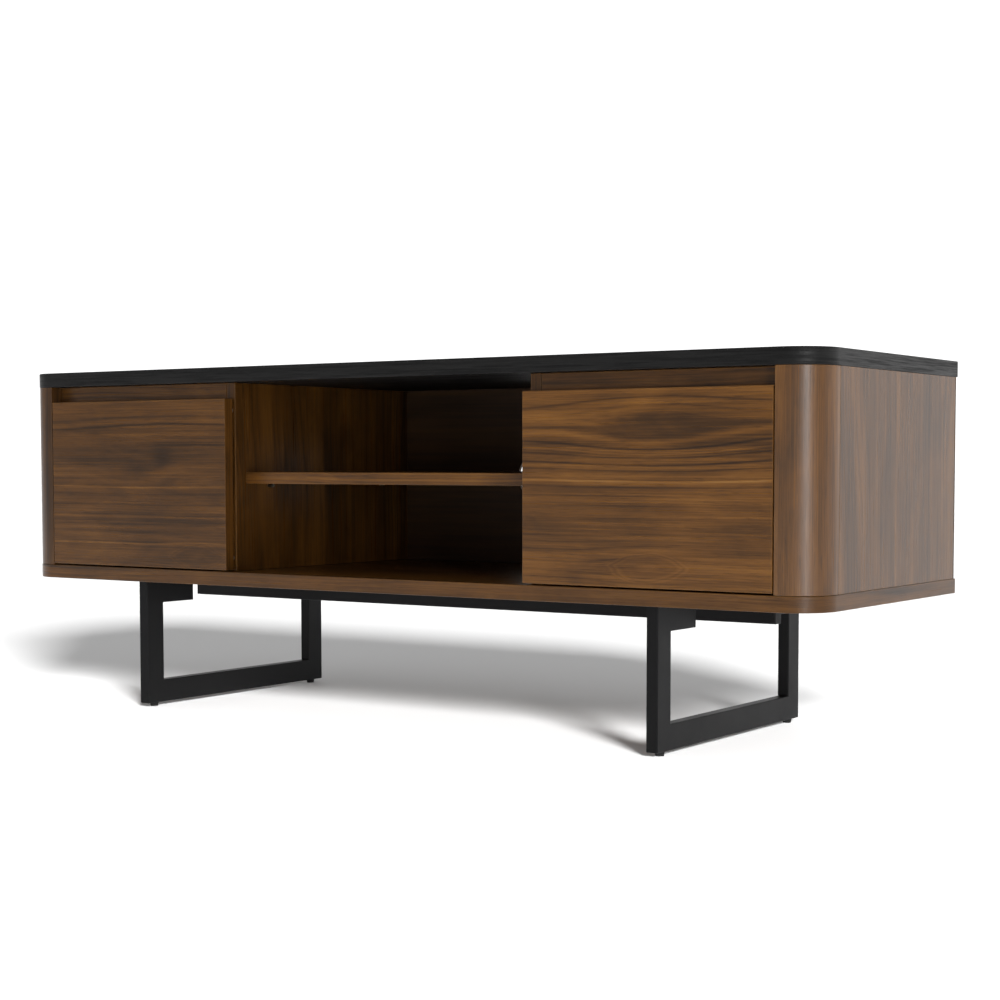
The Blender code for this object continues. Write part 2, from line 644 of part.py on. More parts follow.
def make_beam():
    """Tube along the middle of the bottom panel, which keeps it from sagging."""
    half = BEAM_LENGTH / 2 - CAP_FLANGE - GAP
    low = LEG_TOP - TUBE_HEIGHT
    item = box("centre_beam", (-half, -TUBE_WIDTH / 2, low), (half, TUBE_WIDTH / 2, LEG_TOP))
    ease(item, TUBE_EASE)
    inner = TUBE_WIDTH / 2 - TUBE_WALL
    start = (-half - CUT_THROUGH, -inner, low + TUBE_WALL)
    stop = (half + CUT_THROUGH, inner, LEG_TOP - TUBE_WALL)
    cut(item, box("beam_hollow", start, stop, CUTTERS))
    for number, place in enumerate(beam_bolt_places()):
        cut_bolt_holes(item, f"beam_bore_{number}", place)
    return finish(item, BLACK_STEEL)


def make_beam_cap(name, side):
    """Plug in the open end of the beam."""
    end = Vector((side * BEAM_LENGTH / 2, 0, 0))
    return tube_cap(f"{name}_beam_cap", end, (-side, 0, 0), LEG_TOP - TUBE_HEIGHT)


def make_foot(name, side, end_name, y):
    """Tapered glide pressed into the underside of the rail."""
    shoulder = FOOT_HEIGHT - GAP
    stem = FOOT_STEM_DIAMETER / 2
    profile = [(0, FOOT_HEIGHT + FOOT_STEM_LENGTH), (stem, FOOT_HEIGHT + FOOT_STEM_LENGTH), (stem, shoulder),
               (FOOT_DIAMETER / 2, shoulder), (FOOT_BASE_DIAMETER / 2, 0), (0, 0)]
    item = turned(f"{name}_{end_name}_foot", profile, (side * LEG_X, y, 0))
    return finish(item, BLACK_PLASTIC)


def make_bolt(name, place):
    """Button-head bolt, its head inside a tube, up through the tube's upper wall into the bottom panel."""
    x, y = place
    seat = LEG_TOP - TUBE_WALL
    head_top = -GAP
    shank_top = UNDERSIDE + BOLT_GRIP - seat
    radius = BOLT_DIAMETER / 2
    head = BOLT_HEAD_DIAMETER / 2
    dome = head_top - BOLT_HEAD_HEIGHT
    profile = [(0, shank_top), (radius, shank_top), (radius, head_top), (head, head_top),
               (head, head_top - BOLT_HEAD_HEIGHT * 0.4), (head * 0.72, head_top - BOLT_HEAD_HEIGHT * 0.9),
               (head * 0.35, dome), (0, dome)]
    item = turned(name, profile, (x, y, seat))
    return finish(item, BLACK_STEEL)


# ---------------------------------------------------------------- the assembly
def build_case():
    make_top_panel()
    make_bottom_panel()
    make_back_panel()
    make_shelf()
    for name, side in SIDES.items():
        make_corner_post(name, side)
        make_side_panel(name, side)
        make_hinge_batten(name, side)
        make_divider(name, side)
        make_front_rail(name, side)
        for end, place in shelf_pin_places().items():
            make_shelf_pin(name, side, end, place)


def build_doors():
    for name, side in SIDES.items():
        make_door(name, side)
        for level_name, level in HINGE_LEVELS.items():
            make_hinge_cup(name, side, level_name, level)
            make_hinge_link(name, side, level_name, level)
            make_hinge_arm(name, side, level_name, level)
            make_hinge_plate(name, side, level_name, level)
        make_bumper(name, side, "lower", DOOR_LOW + BUMPER_END_DISTANCE)
        make_bumper(name, side, "upper", DOOR_HIGH - BUMPER_END_DISTANCE)


def build_under_frame():
    make_beam()
    for name, side in SIDES.items():
        make_leg_frame(name, side)
        make_beam_cap(name, side)
        for end_name, sign in ENDS.items():
            make_arm_cap(name, side, end_name, sign)
            make_foot(name, side, end_name, foot_places()[end_name])
    for name, place in zip(("left_front", "left_rear", "right_front", "right_rear"), arm_bolt_places()):
        make_bolt(f"{name}_leg_bolt", place)
    for name, place in zip(SIDES, beam_bolt_places()):
        make_bolt(f"{name}_beam_bolt", place)


clear_scene()
PARTS = new_collection("tv_stand_with_doors")
CUTTERS = new_collection("cutters")
build_case()
build_doors()
build_under_frame()
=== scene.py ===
"""A media stand in walnut veneer: black top, open bay with a shelf, two doors, black tube legs."""
import math

import bmesh
import bpy
import mathutils
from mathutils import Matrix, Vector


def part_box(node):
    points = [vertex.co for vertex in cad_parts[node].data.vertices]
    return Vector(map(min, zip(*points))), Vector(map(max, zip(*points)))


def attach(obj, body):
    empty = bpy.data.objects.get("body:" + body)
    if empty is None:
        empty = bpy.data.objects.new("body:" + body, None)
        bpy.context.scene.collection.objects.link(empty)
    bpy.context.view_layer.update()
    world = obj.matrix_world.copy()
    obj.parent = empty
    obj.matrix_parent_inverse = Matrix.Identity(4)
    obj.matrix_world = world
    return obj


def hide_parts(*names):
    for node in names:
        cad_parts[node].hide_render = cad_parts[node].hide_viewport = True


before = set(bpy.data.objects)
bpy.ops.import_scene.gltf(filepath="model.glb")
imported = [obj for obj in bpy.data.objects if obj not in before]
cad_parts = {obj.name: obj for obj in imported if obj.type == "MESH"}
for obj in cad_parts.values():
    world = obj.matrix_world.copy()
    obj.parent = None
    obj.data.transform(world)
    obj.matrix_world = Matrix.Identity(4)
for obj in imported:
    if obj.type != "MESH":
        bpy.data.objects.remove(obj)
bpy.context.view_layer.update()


# ------------------------------------------------------------------ bottom panel
# The board that the whole case stands on: particle board under walnut veneer, its grain lengthwise.
# It is sawn to shape with round front corners. Its rims are lipped with veneer and eased by hand.
RIM_EASE = 0.0009              # rounding along each rim
EASE_FACETS = 3                # across that rounding
EASED_ANGLE = 35               # degrees; sharper corners than this are eased
CORNER_RADIUS = 0.047
ARC_STEPS = 40                 # facets in a quarter turn, fine enough to shade round
BOTTOM_TONE = 0.74
BOTTOM_WANDER = 0.7
FACING_UP = (0.0, 0.0, 1.0)

WALNUT_DARK = (0.016, 0.0068, 0.0020)
WALNUT_HEART = (0.050, 0.0210, 0.0050)
WALNUT_MID = (0.118, 0.0470, 0.0085)
WALNUT_LIGHT = (0.205, 0.0860, 0.0160)
WALNUT_SAP = (0.290, 0.1500, 0.0450)
WALNUT_TONES = ((0.0, WALNUT_DARK), (1.0, WALNUT_SAP), (0.28, WALNUT_HEART), (0.52, WALNUT_MID),
                (0.76, WALNUT_LIGHT))
WALNUT_GLOSS = 0.28
WALNUT_ROUGHNESS = 0.30
WORN_EDGE = 0.0012             # how far in from an edge the lacquer is rubbed
VENEER_RELIEF = 0.00012        # how deep the fibres show through the lacquer
RINGS_PER_METRE = 105
RING_STRENGTH = 0.44
RINGS_UNEVEN = 5.0             # rings gained or lost where the tree grew faster or slower
RING_TONES = ((0.0, 0.50), (0.50, 0.66), (0.80, 0.30), (0.90, 0.02), (0.97, 0.40))  # of a year
EYE_TONES = ((0.0, 0.70), (0.16, 0.30), (0.30, 0.42), (0.45, 0.25), (0.60, 0.78), (0.70, 0.28),
             (0.82, 0.95), (0.93, 0.40))     # from the middle of a knot's eye outwards
EYE_SPAN = 0.8
EYE_RAGGED = 2.6               # how far the ripple frays an eye's outline
# How often each part of the wood's figure repeats in a metre, along the grain and across it.
SWEEP = (1.7, 6.5, 6.5)
RIPPLE = (9.0, 30.0, 30.0)
FADE = (3.0, 13.0, 13.0)
PATCH = (4.2, 17.0, 17.0)
FIBRE = (5.0, 560.0, 560.0)
THREAD = (1.1, 150.0, 150.0)
PORE = (42.0, 1150.0, 1150.0)
SWEEP_SWING = 0.125            # metres that each moves the rings
RIPPLE_SWING = 0.010


def lay(tree, kind, *inputs, out=0, **settings):
    """Add a node, link or set its open sockets in order, and hand back one of its outputs."""
    item = tree.nodes.new(kind)
    for name, value in settings.items():
        setattr(item, name, value)
    for socket, value in zip([s for s in item.inputs if s.enabled], inputs):
        if isinstance(value, bpy.types.NodeSocket):
            tree.links.new(value, socket)
        elif value is not None:
            socket.default_value = value
    return [s for s in item.outputs if s.enabled][out]


def reckon(tree, operation, *inputs):
    """Do a sum on values in a tree."""
    return lay(tree, "ShaderNodeMath", *inputs, operation=operation)


def dot(tree, first, second):
    """How far one direction runs along another."""
    return lay(tree, "ShaderNodeVectorMath", first, second, operation="DOT_PRODUCT")


def part_of(tree, vector, axis):
    """One of a vector's parts: 0 along, 1 deep or 2 up."""
    return lay(tree, "ShaderNodeSeparateXYZ", vector, out=axis)


def hump(tree, squared):
    """1 in the middle and less further out, from a squared distance."""
    return reckon(tree, "EXPONENT", reckon(tree, "MULTIPLY", squared, -1.0))


def spread(tree, value, low, high, new_low, new_high):
    """Carry a value from one range to another, held at its ends."""
    return lay(tree, "ShaderNodeMapRange", value, low, high, new_low, new_high)


def tint(tree, share, first, second, blend="MIX"):
    """Blend two colours, or lay one over the other."""
    first = (*first, 1.0) if isinstance(first, tuple) else first
    second = (*second, 1.0) if isinstance(second, tuple) else second
    return lay(tree, "ShaderNodeMix", share, first, second, data_type="RGBA", blend_type=blend)


def bands(tree, value, *stops):
    """A run of colours or greys along a value from 0 to 1."""
    item = tree.nodes.new("ShaderNodeValToRGB")
    ramp = item.color_ramp
    for number, (place, colour) in enumerate(stops):
        stop = ramp.elements[number] if number < 2 else ramp.elements.new(place)
        stop.position = place
        stop.color = (*colour, 1.0) if isinstance(colour, tuple) else (colour, colour, colour, 1.0)
    tree.links.new(value, item.inputs[0])
    return item.outputs[0]


def blank_finish(name, roughness, gloss=0.5, **sockets):
    """A new finish: its node tree, its shader and its own object coordinates."""
    material = bpy.data.materials.new(name)
    material.use_nodes = True
    tree = material.node_tree
    shader = tree.nodes["Principled BSDF"]
    shader.inputs["Roughness"].default_value = roughness
    shader.inputs["Specular IOR Level"].default_value = gloss
    for socket, value in sockets.items():
        shader.inputs[socket.replace("_", " ")].default_value = value
    return material, tree, shader, lay(tree, "ShaderNodeTexCoord", out=3)


def skin(tree, shader, colour, roughness):
    """Give a finish its colour and its roughness where they vary over the piece."""
    tree.links.new(colour, shader.inputs["Base Color"])
    tree.links.new(roughness, shader.inputs["Roughness"])


def stretched(tree, place, scale):
    """Coordinates with a scale of their own in each direction."""
    return lay(tree, "ShaderNodeVectorMath", place, scale, operation="MULTIPLY")


def cloud(tree, place, scale, detail=3.0, rough=0.55, twist=0.0):
    """Three-dimensional noise from 0 to 1."""
    return lay(tree, "ShaderNodeTexNoise", place, scale, detail, rough, 2.0, twist)


def figured(tree, place, repeats, detail=3.0, rough=0.55):
    """Noise drawn out along a grain: repeats is how often it comes in a metre, each way."""
    return cloud(tree, stretched(tree, place, repeats), 1.0, detail, rough)


def rubbed_edges(tree, radius):
    """1 along the outer edges of a piece and 0 on its faces."""
    rounded = lay(tree, "ShaderNodeBevel", radius, samples=4)
    straight = lay(tree, "ShaderNodeNewGeometry", out=1)
    return spread(tree, dot(tree, rounded, straight), 0.995, 0.86, 0.0, 1.0)


def relief(tree, shader, height, strength, depth):
    """Bump from a height; its depth is in metres."""
    bump = lay(tree, "ShaderNodeBump", strength, depth, None, height)
    tree.links.new(bump, shader.inputs["Normal"])


def round_the_rim(tree, place, face):
    """Coordinates that take an edge band's grain round the rim of a board that faces one way."""
    normal = lay(tree, "ShaderNodeTexCoord", out=1)
    on_rim = reckon(tree, "LESS_THAN", reckon(tree, "ABSOLUTE", dot(tree, normal, face)), 0.5)
    along = dot(tree, place, tuple(1.0 - part for part in face))
    folded = lay(tree, "ShaderNodeCombineXYZ", along, 0.0, dot(tree, place, face))
    return lay(tree, "ShaderNodeMix", on_rim, place, folded, data_type="VECTOR")


def walnut(name, grain, shift, wander=1.0, tone=1.0, figure=(), lines=(),
           roughness=WALNUT_ROUGHNESS, gloss=WALNUT_GLOSS, face=None, rings=RING_STRENGTH):
    """Lacquered walnut veneer, with growth rings, fibres and pores that run along the grain.

    grain is the way the fibres run, shift moves the board to its own part of the log, wander says
    how far the rings swing, and tone how light the board is (on the left post and the dividers,
    partly painted shade). Each figure is (along, across, length, width, swell, shade, outline): a
    place that the rings swell round, darker in the middle, with or without an outlined eye. Each
    line is (across, width, lift), a streak. face is the way that a board faces whose rim has a band
    of its own, and rings is how strongly the rings show.
    """
    material, tree, shader, place = blank_finish(name, roughness, gloss)
    if face:
        place = round_the_rim(tree, place, face)
    turn = {"X": (0.0, 0.0, 0.0), "Z": (0.0, math.pi / 2, 0.0)}[grain]
    log = lay(tree, "ShaderNodeMapping", place, (0.0, 0.0, 0.0), turn)
    moved = lay(tree, "ShaderNodeVectorMath", log, shift, operation="ADD")
    across = dot(tree, log, (0.0, 1.0, 1.0))
    sweep = reckon(tree, "SUBTRACT", figured(tree, moved, SWEEP, 1.5, 0.45), 0.5)
    ripple = reckon(tree, "SUBTRACT", figured(tree, moved, RIPPLE, 2.0, 0.5), 0.5)
    across = reckon(tree, "MULTIPLY_ADD", sweep, SWEEP_SWING * wander, across)
    across = reckon(tree, "MULTIPLY_ADD", ripple, RIPPLE_SWING * wander, across)
    shades = []
    eyes = []
    for along, level, length, width, swell, shade, outline in figure:
        middle = (along, 0.0, level)
        offset = lay(tree, "ShaderNodeVectorMath", log, middle, operation="SUBTRACT")
        offset = stretched(tree, offset, (1 / length, 0.0, 1 / width))
        above = part_of(tree, offset, 2)
        near = hump(tree, dot(tree, offset, offset))
        push = reckon(tree, "MULTIPLY", near, above)
        across = reckon(tree, "MULTIPLY_ADD", push, -swell * width, across)
        shades.append(reckon(tree, "MULTIPLY", near, -shade))
        if outline:
            beside = part_of(tree, offset, 0)
            lens = reckon(tree, "MULTIPLY_ADD", beside, beside, reckon(tree, "ABSOLUTE", above))
            lens = reckon(tree, "MULTIPLY_ADD", ripple, EYE_RAGGED, lens)
            eyes.append((reckon(tree, "MULTIPLY", lens, EYE_SPAN), outline))
    uneven = lay(tree, "ShaderNodeTexNoise", across, 24.0, 2.0, 0.6, noise_dimensions="1D")
    uneven = reckon(tree, "MULTIPLY", uneven, RINGS_UNEVEN)
    ring = reckon(tree, "MULTIPLY_ADD", across, RINGS_PER_METRE, uneven)
    ring_tone = bands(tree, reckon(tree, "FRACT", ring), *RING_TONES)
    years = reckon(tree, "MULTIPLY", ring, 0.31)
    streak = lay(tree, "ShaderNodeTexNoise", years, 1.0, 3.0, 0.6, noise_dimensions="1D")
    fade = spread(tree, figured(tree, moved, FADE, 2.0), 0.36, 0.62, 0.10, 1.0)
    patch = cloud(tree, stretched(tree, moved, PATCH), 1.3, 3.0, 0.6, 0.8)
    fibre = figured(tree, moved, FIBRE, 3.0, 0.6)
    thread = figured(tree, moved, THREAD, 2.0, 0.5)
    pore = spread(tree, figured(tree, moved, PORE, 2.0), 0.56, 0.70, 0.0, 1.0)
    ring_tone = lay(tree, "ShaderNodeMix", fade, 0.55, ring_tone, data_type="FLOAT")
    for lens, outline in eyes:
        eye = bands(tree, lens, *EYE_TONES)
        inside = reckon(tree, "MULTIPLY", spread(tree, lens, 0.76, 1.0, 1.0, 0.0), outline)
        ring_tone = lay(tree, "ShaderNodeMix", inside, ring_tone, eye, data_type="FLOAT")
    depth = reckon(tree, "MULTIPLY_ADD", ring_tone, rings, -0.50 - 0.5 * rings)
    for part, weight in ((streak, 0.46), (patch, 0.66), (thread, 0.24), (fibre, 0.62)):
        depth = reckon(tree, "MULTIPLY_ADD", part, weight, depth)
    for shade in shades:
        depth = reckon(tree, "ADD", depth, shade)
    if lines:
        bent = reckon(tree, "SUBTRACT", across, part_of(tree, log, 1))
    for level, width, lift in lines:
        off = reckon(tree, "MULTIPLY", reckon(tree, "SUBTRACT", bent, level), 1 / width)
        near = hump(tree, reckon(tree, "MULTIPLY", off, off))
        depth = reckon(tree, "MULTIPLY_ADD", near, lift, depth)
    colour = bands(tree, depth, *WALNUT_TONES)
    colour = tint(tree, reckon(tree, "MULTIPLY", pore, 0.45), colour, WALNUT_DARK)
    colour = tint(tree, 1.0, colour, (tone, tone, tone), "MULTIPLY")
    rubbing = spread(tree, thread, 0.35, 0.6, 0.1, 0.5)
    worn = reckon(tree, "MULTIPLY", rubbed_edges(tree, WORN_EDGE), rubbing)
    colour = tint(tree, worn, colour, WALNUT_SAP)
    skin(tree, shader, colour, spread(tree, fibre, 0.3, 0.7, roughness + 0.05, roughness - 0.04))
    relief(tree, shader, reckon(tree, "MULTIPLY_ADD", pore, -0.8, fibre), 0.22, VENEER_RELIEF)
    return material


def new_item(name, data):
    """An object of its own in the scene, at the origin."""
    item = bpy.data.objects.new(name, data)
    bpy.context.scene.collection.objects.link(item)
    return item


def new_piece(name, shape):
    """Turn a shape's faces outwards, shade it smooth and put it in the scene."""
    bmesh.ops.recalc_face_normals(shape, faces=shape.faces)
    for face in shape.faces:
        face.smooth = True
    mesh = bpy.data.meshes.new(name)
    shape.to_mesh(mesh)
    shape.free()
    return new_item(name, mesh)


def settle(item):
    """Work the modifiers into the mesh and take them away."""
    shown = item.evaluated_get(bpy.context.evaluated_depsgraph_get())
    mesh = bpy.data.meshes.new_from_object(shown)
    mesh.name = item.name
    item.modifiers.clear()
    item.data = mesh
    return item


def quarter(centre_x, centre_y, radius, start):
    """Points of a quarter circle, anticlockwise from a starting angle in degrees."""
    turns = [math.radians(start + 90 * step / ARC_STEPS) for step in range(ARC_STEPS + 1)]
    return [(centre_x + radius * math.cos(a), centre_y + radius * math.sin(a)) for a in turns]


def rim_of(node):
    """Outline of the top or bottom panel: round corners in front, square ones behind."""
    low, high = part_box(node)
    left = low.x + CORNER_RADIUS
    right = high.x - CORNER_RADIUS
    front = low.y + CORNER_RADIUS
    points = quarter(left, front, CORNER_RADIUS, 180) + quarter(right, front, CORNER_RADIUS, 270)
    return points + [(high.x, high.y), (low.x, high.y)], low.z, high.z


def sawn(name, outline, low, high, ease):
    """A board sawn to an outline, with every rim rounded a little."""
    shape = bmesh.new()
    below = [shape.verts.new((x, y, low)) for x, y in outline]
    above = [shape.verts.new((x, y, high)) for x, y in outline]
    shape.faces.new(below[::-1])
    shape.faces.new(above)
    for here in range(len(outline)):
        ahead = (here + 1) % len(outline)
        shape.faces.new((below[here], below[ahead], above[ahead], above[here]))
    item = new_piece(name, shape)
    easing = item.modifiers.new("eased rims", "BEVEL")
    easing.width = ease
    easing.segments = EASE_FACETS
    easing.angle_limit = math.radians(EASED_ANGLE)
    easing.harden_normals = True
    return settle(item)


def fit(item, material, slot, body, *replaced):
    """Give a piece its finish, put it on its body and let it stand for its solids."""
    item.data.materials.clear()
    item.data.materials.append(material)
    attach(item, body)
    if replaced:
        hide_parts(*replaced)


def dress(node, material):
    """Put a finish on a solid that keeps its shape."""
    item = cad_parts[node]
    item.data.materials.clear()
    item.data.materials.append(material)


bottom = sawn("bottom_board", *rim_of("bottom_panel"), RIM_EASE)
veneer = walnut("bottom_walnut", "X", (1.3, 0.4, 0.2), BOTTOM_WANDER, BOTTOM_TONE, face=FACING_UP)
fit(bottom, veneer, "walnut_long", "stand", "bottom_panel")


# ------------------------------------------------------------------ corner posts
# Solid posts take the case round its front corners, each glued up and turned to a quarter round.
# The veneer is wrapped on them with the grain upright.
POST_EASE = 0.0004
POST_ROUGHNESS = 0.31
POST_WANDER = 0.35
# The left post's lower tone is painted shade: it is the same walnut as the right post, darkened
# because the light falls from the right.
POSTS = (("left", -1, 0.66, 0.30, (0.7, 0.9, 2.1)),      # side, tone, gloss and place in the log
         ("right", 1, 0.95, 0.52, (2.6, 1.7, 0.3)))


def post_outline(node, side):
    """Square inside and behind, with the outer front corner rounded."""
    low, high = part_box(node)
    radius = CORNER_RADIUS - (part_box("top_panel")[1].x - max(high.x, -low.x))
    outer = high.x if side > 0 else -low.x
    inner = low.x if side > 0 else -high.x
    arc = quarter(outer - radius, low.y + radius, radius, 270)
    points = [(inner, low.y)] + arc + [(outer, high.y), (inner, high.y)]
    return [(side * x, y) for x, y in points], low.z, high.z


for hand, side, tone, gloss, shift in POSTS:
    node = f"{hand}_corner_post"
    post = sawn(f"{hand}_round_post", *post_outline(node, side), POST_EASE)
    veneer = walnut(f"{hand}_post_walnut", "Z", shift, POST_WANDER, tone,
                    roughness=POST_ROUGHNESS, gloss=gloss)
    fit(post, veneer, "walnut_upright", "stand", node)


# ------------------------------------------------------------------ side panels and hinge battens
# The ends of the case behind the posts are veneered boards with upright grain.
# A batten behind each post, of plain board stained to match, takes the screws of the hinge plates.
SIDE_TONE = 0.80
SIDE_GLOSS = 0.44
BATTEN_TONE = 0.8
BATTEN_WANDER = 0.2
BATTEN_ROUGHNESS = 0.5

for hand, shift in (("left", (3.1, 0.2, 1.1)), ("right", (0.35, 2.45, 1.9))):
    veneer = walnut(f"{hand}_side_walnut", "Z", shift, tone=SIDE_TONE, gloss=SIDE_GLOSS)
    dress(f"{hand}_side_panel", veneer)
    stain = walnut(f"{hand}_batten_stain", "Z", shift, BATTEN_WANDER, BATTEN_TONE,
                   roughness=BATTEN_ROUGHNESS)
    dress(f"{hand}_hinge_batten", stain)


# ------------------------------------------------------------------ dividers, front rails, shelf
# Uprights on each side of the open bay, rails that close the cupboards over the doors, and a shelf.
# All are veneered board: the grain is upright on the dividers, lengthwise on the rails and shelf.
# The dividers' low tone is partly their own and partly painted shade of the open bay that they
# stand in.
DIVIDER_TONE_AND_SHADE = 0.62
DIVIDER_WANDER = 0.9
RAIL_TONE = 0.72
RAIL_WANDER = 0.4
SHELF_WANDER = 0.5

for hand, shift in (("left", (1.9, 3.3, 0.6)), ("right", (2.2, 0.1, 2.7))):
    veneer = walnut(f"{hand}_divider_walnut", "Z", shift, DIVIDER_WANDER, DIVIDER_TONE_AND_SHADE)
    dress(f"{hand}_divider", veneer)
    dress(f"{hand}_front_rail", walnut(f"{hand}_rail_walnut", "X", shift, RAIL_WANDER, RAIL_TONE))
dress("centre_shelf", walnut("shelf_walnut", "X", (0.5, 1.2, 3.4), SHELF_WANDER))


# ------------------------------------------------------------------ back panel
# Thin fibreboard under a walnut-print paper, let in behind the case and nailed round its edge.
# The nails are short flat-headed ones, a hand's breadth apart.
NAIL_SPACING = 0.090
NAIL_RADIUS = 0.0022
NAIL_WAIST = 0.8               # a head's smaller face, as a part of its radius
NAIL_HEIGHT = 0.0006
NAIL_FACETS = 20
NAIL_INSET = 0.0075            # nails to the panel's edge, the middle of the board behind it
NAIL_STEEL = (0.20, 0.185, 0.16)
PAPER_LOW = (0.028, 0.0125, 0.0045)
PAPER_HIGH = (0.080, 0.036, 0.0120)
BOARD_BROWN = (0.120, 0.085, 0.050)


def growing_tree(name, **sizes):
    """A geometry tree with a mesh in, a mesh out and named sizes; returns it and its inputs."""
    tree = bpy.data.node_groups.new(name, "GeometryNodeTree")
    tree.interface.new_socket("Geometry", in_out="INPUT", socket_type="NodeSocketGeometry")
    for size, value in sizes.items():
        socket = tree.interface.new_socket(size, in_out="INPUT", socket_type="NodeSocketFloat")
        socket.default_value = value
    tree.interface.new_socket("Geometry", in_out="OUTPUT", socket_type="NodeSocketGeometry")
    return tree, tree.nodes.new("NodeGroupInput").outputs


def grown(tree, geometry, material):
    """Close a tree: its instances made real, its material set, its result handed out."""
    real = lay(tree, "GeometryNodeRealizeInstances", geometry)
    shown = lay(tree, "GeometryNodeSetMaterial", real, None, material)
    tree.links.new(shown, tree.nodes.new("NodeGroupOutput").inputs[0])


def seeded(name, points, edges=(), outward=None):
    """A bare mesh of points for a tree to work from, each with the way that its piece faces."""
    mesh = bpy.data.meshes.new(name)
    mesh.from_pydata(points, edges, [])
    if outward:
        ways = mesh.attributes.new("outward", "FLOAT_VECTOR", "POINT")
        ways.data.foreach_set("vector", [part for way in outward for part in way])
    return new_item(name, mesh)


def grow(item, tree, **sizes):
    """Run a tree on a mesh with its sizes set, and keep the plain result."""
    growth = item.modifiers.new(tree.name, "NODES")
    growth.node_group = tree
    for socket in tree.interface.items_tree:
        if socket.in_out == "INPUT" and socket.name in sizes:
            growth[socket.identifier] = sizes[socket.name]
    return settle(item)


def zinc(name, colour, roughness):
    """Plated steel with faint stains and fine rubbing marks."""
    material, tree, shader, place = blank_finish(name, roughness, Metallic=1.0)
    stain = cloud(tree, place, 160.0, 4.0, 0.6)
    scratch = figured(tree, place, (900.0, 900.0, 60.0))
    dull = tuple(0.62 * part for part in colour)
    shade = tint(tree, spread(tree, stain, 0.35, 0.7, 0.0, 0.6), colour, dull)
    bright = tuple(min(1.0, 1.35 * part) for part in colour)
    shade = tint(tree, reckon(tree, "MULTIPLY", rubbed_edges(tree, 0.0004), 0.6), shade, bright)
    skin(tree, shader, shade, spread(tree, scratch, 0.3, 0.7, roughness - 0.07, roughness + 0.10))
    relief(tree, shader, scratch, 0.10, 0.00003)
    return material


def walnut_paper(name):
    """Printed walnut paper on fibreboard: a faint lengthwise figure, bare board at its edges."""
    material, tree, shader, place = blank_finish(name, 0.58, 0.35)
    figure = figured(tree, place, (2.2, 34.0, 34.0), 3.0, 0.6)
    line = figured(tree, place, (5.0, 240.0, 240.0), 3.0, 0.6)
    mixed = reckon(tree, "MULTIPLY_ADD", line, 0.45, reckon(tree, "MULTIPLY", figure, 0.75))
    colour = bands(tree, mixed, (0.38, PAPER_LOW), (0.86, PAPER_HIGH))
    bare = reckon(tree, "MULTIPLY", rubbed_edges(tree, 0.0006), 0.7)
    colour = tint(tree, bare, colour, BOARD_BROWN)
    skin(tree, shader, colour, spread(tree, line, 0.3, 0.7, 0.52, 0.64))
    relief(tree, shader, line, 0.12, 0.00008)
    return material


dress("back_panel", walnut_paper("back_paper"))

nail_steel = zinc("nail_steel", NAIL_STEEL, 0.42)
nail_tree, given = growing_tree("edge_nails", spacing=NAIL_SPACING, radius=NAIL_RADIUS,
                                height=NAIL_HEIGHT)
line = lay(nail_tree, "GeometryNodeMeshToCurve", given["Geometry"])
steps = lay(nail_tree, "GeometryNodeResampleCurve", line, None, given["spacing"], mode="LENGTH")
waist = reckon(nail_tree, "MULTIPLY", given["radius"], NAIL_WAIST)
head = lay(nail_tree, "GeometryNodeMeshCone", NAIL_FACETS, 1, 1, waist, given["radius"],
           given["height"])
back_turn = lay(nail_tree, "FunctionNodeEulerToRotation", (-math.pi / 2, 0.0, 0.0))
placed = lay(nail_tree, "GeometryNodeInstanceOnPoints", steps, None, head, None, None, back_turn)
grown(nail_tree, placed, nail_steel)

low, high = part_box("back_panel")
edge = [(low.x + NAIL_INSET, low.z + NAIL_INSET), (high.x - NAIL_INSET, low.z + NAIL_INSET),
        (high.x - NAIL_INSET, high.z - NAIL_INSET), (low.x + NAIL_INSET, high.z - NAIL_INSET)]
nails = seeded("back_nails", [(x, high.y, z) for x, z in edge], [(0, 1), (1, 2), (2, 3), (3, 0)])
grow(nails, nail_tree, spacing=NAIL_SPACING)
fit(nails, nail_steel, "nickel_steel", "stand")


# ------------------------------------------------------------------ shelf pins
# Four plain steel pegs hold the shelf up.
# They are pushed into holes in the dividers, two on each side.
PEG_STEEL = (0.24, 0.225, 0.20)

peg_steel = zinc("peg_steel", PEG_STEEL, 0.30)
for hand in ("left", "right"):
    for end in ("front", "rear"):
        dress(f"{hand}_{end}_shelf_pin", peg_steel)


# ------------------------------------------------------------------ top panel
# The board that a television stands on: black laminate, pressed with a fine open-pored wood grain.
# It is sawn to the bottom panel's outline, and its rims are lipped in the same laminate.
LAMINATE_DEEP = (0.0035, 0.0035, 0.0036)
LAMINATE_FACE = (0.0115, 0.0113, 0.0112)
LAMINATE_RUBBED = (0.032, 0.031, 0.030)
LAMINATE_SHIFT = (0.0, 0.12, 0.12)    # to this sheet's part of the pressed pattern


def black_laminate(name):
    """Black board with a pressed grain that runs along the stand."""
    material, tree, shader, place = blank_finish(name, 0.42, 0.18)
    place = round_the_rim(tree, place, FACING_UP)
    rolled = lay(tree, "ShaderNodeVectorMath", place, LAMINATE_SHIFT, operation="ADD")
    grain = figured(tree, rolled, (5.0, 150.0, 150.0), 4.0, 0.65)
    pore = figured(tree, rolled, (16.0, 620.0, 620.0), 3.0, 0.6)
    mixed = reckon(tree, "MULTIPLY_ADD", pore, 0.6, reckon(tree, "MULTIPLY", grain, 0.5))
    valley = spread(tree, mixed, 0.48, 0.64, 0.0, 1.0)
    colour = tint(tree, valley, LAMINATE_FACE, LAMINATE_DEEP)
    worn = reckon(tree, "MULTIPLY", rubbed_edges(tree, 0.0010), 0.45)
    colour = tint(tree, worn, colour, LAMINATE_RUBBED)
    skin(tree, shader, colour, spread(tree, valley, 0.0, 1.0, 0.36, 0.56))
    relief(tree, shader, reckon(tree, "MULTIPLY", valley, -1.0), 0.35, 0.00025)
    return material


